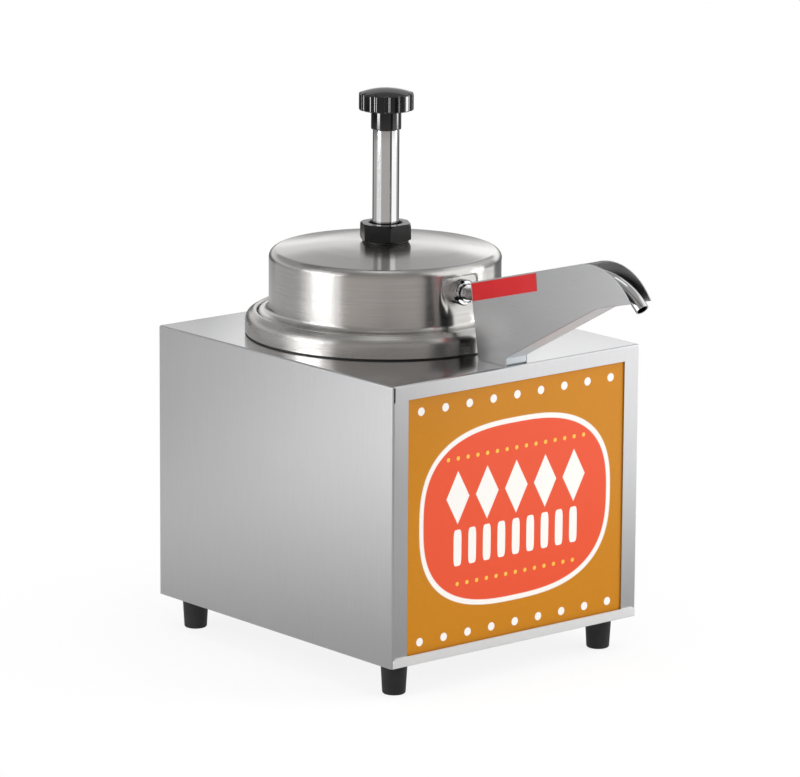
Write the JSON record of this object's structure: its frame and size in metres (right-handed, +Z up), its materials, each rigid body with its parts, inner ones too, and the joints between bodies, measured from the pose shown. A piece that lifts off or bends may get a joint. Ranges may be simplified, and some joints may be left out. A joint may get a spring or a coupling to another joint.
{
  "type": "topping warmer",
  "caption": "Countertop heated topping warmer with a hanging jar, piston pump in a domed lid, heated spout over the front edge, and lit sign panel.",
  "frame": {"origin": "on the table, below the middle of the bounding box", "axes": "+Z up, the spout and sign face -Y, +X is across the cabinet"},
  "size_m": [0.229, 0.4079, 0.4006],
  "materials": {
    "stainless_sheet": "brushed stainless steel sheet",
    "spun_lid": "stainless steel, polished round its axis",
    "polished_steel": "polished stainless steel",
    "zinc_steel": "plated steel",
    "rubber": "black rubber",
    "black_gloss_plastic": "glossy black moulded plastic",
    "black_plastic": "black moulded plastic",
    "sign_acrylic": "glossy acrylic with a printed back",
    "sign_rail_plastic": "black extrusion",
    "white_painted_steel": "white paint",
    "led_board": "white circuit board",
    "driver_case": "pale grey plastic",
    "heater_mica": "steel over mica",
    "glass_wool": "glass wool",
    "phenolic": "brown phenolic",
    "shaft_steel": "turned steel",
    "dial_plate_aluminium": "black anodised, with pale numerals",
    "lamp_chrome": "bright plated",
    "amber_lens": "clear amber plastic",
    "saddle_aluminium": "cast and machined",
    "seal_plastic": "natural food-grade plastic"
  },
  "bodies": {
    "cabinet": {"housing_shell": "stainless_sheet", "base_pan": "stainless_sheet", "rear_panel": "stainless_sheet", "well": "stainless_sheet", "well_clamp": "stainless_sheet", "spout_housing": "stainless_sheet", "rear_screws": "zinc_steel", "foot_screws": "zinc_steel", "well_studs": "zinc_steel", "heater_bolts": "zinc_steel", "spout_screws": "zinc_steel", "foot_front_left": "rubber", "foot_front_right": "rubber", "foot_rear_left": "rubber", "foot_rear_right": "rubber", "well_gasket": "rubber", "switch_body": "black_plastic", "strain_relief": "black_plastic", "terminal_block": "black_plastic", "thermostat_body": "black_plastic", "sign_panel": "sign_acrylic", "sign_rails": "sign_rail_plastic", "light_tray": "white_painted_steel", "led_strips": "led_board", "led_driver": "driver_case", "heater_band": "heater_mica", "spout_heater": "heater_mica", "insulation_wrap": "glass_wool", "insulation_disc": "glass_wool", "high_limit": "phenolic", "dial_plate": "dial_plate_aluminium", "pilot_lamp": "lamp_chrome", "pilot_lens": "amber_lens", "spout_saddle": "saddle_aluminium"},
    "dial": {"thermostat_dial": "black_gloss_plastic", "thermostat_shaft": "shaft_steel"},
    "rocker": {"switch_rocker": "black_gloss_plastic"},
    "jar": {"food_jar": "stainless_sheet"},
    "pump": {"lid": "spun_lid", "lid_gasket": "rubber", "nut_washer": "rubber", "lock_nut": "black_gloss_plastic", "pump_cylinder": "polished_steel", "valve_body": "polished_steel", "suction_tube": "polished_steel", "ball_retainer": "polished_steel", "return_spring": "polished_steel", "discharge_tube": "polished_steel", "discharge_nut": "polished_steel", "discharge_washer": "rubber"},
    "plunger": {"knob": "black_gloss_plastic", "plunger_tube": "polished_steel", "plunger_rod": "polished_steel", "piston": "seal_plastic", "piston_seal": "seal_plastic"},
    "inlet_check": {"inlet_ball": "polished_steel"},
    "outlet_check": {"outlet_ball": "polished_steel"}
  },
  "joints": [
    {"name": "jar_lift", "type": "slide", "parent": "cabinet", "child": "jar", "axis": [0, 0, 1], "range_m": [0, 0.21]},
    {"name": "pump_lift", "type": "slide", "parent": "jar", "child": "pump", "axis": [0, 0, 1], "range_m": [0, 0.21]},
    {"name": "plunger_stroke", "type": "slide", "parent": "pump", "child": "plunger", "axis": [0, 0, -1], "range_m": [0, 0.055], "stiffness_N_per_m": 250, "springref_m": -0.04, "deforming": ["return_spring"]},
    {"name": "inlet_valve_lift", "type": "slide", "parent": "pump", "child": "inlet_check", "axis": [0, 0, 1], "range_m": [0, 0.0025]},
    {"name": "outlet_valve_lift", "type": "slide", "parent": "pump", "child": "outlet_check", "axis": [0, 0, 1], "range_m": [0, 0.0025]},
    {"name": "thermostat_turn", "type": "hinge", "parent": "cabinet", "child": "dial", "pos_m": [-0.078, 0.18795, 0.14], "axis": [0, -1, 0], "range_deg": [0, 270]},
    {"name": "switch_rock", "type": "hinge", "parent": "cabinet", "child": "rocker", "pos_m": [-0.078, 0.18955, 0.092], "axis": [-1, 0, 0], "range_deg": [0, 22]}
  ]
}
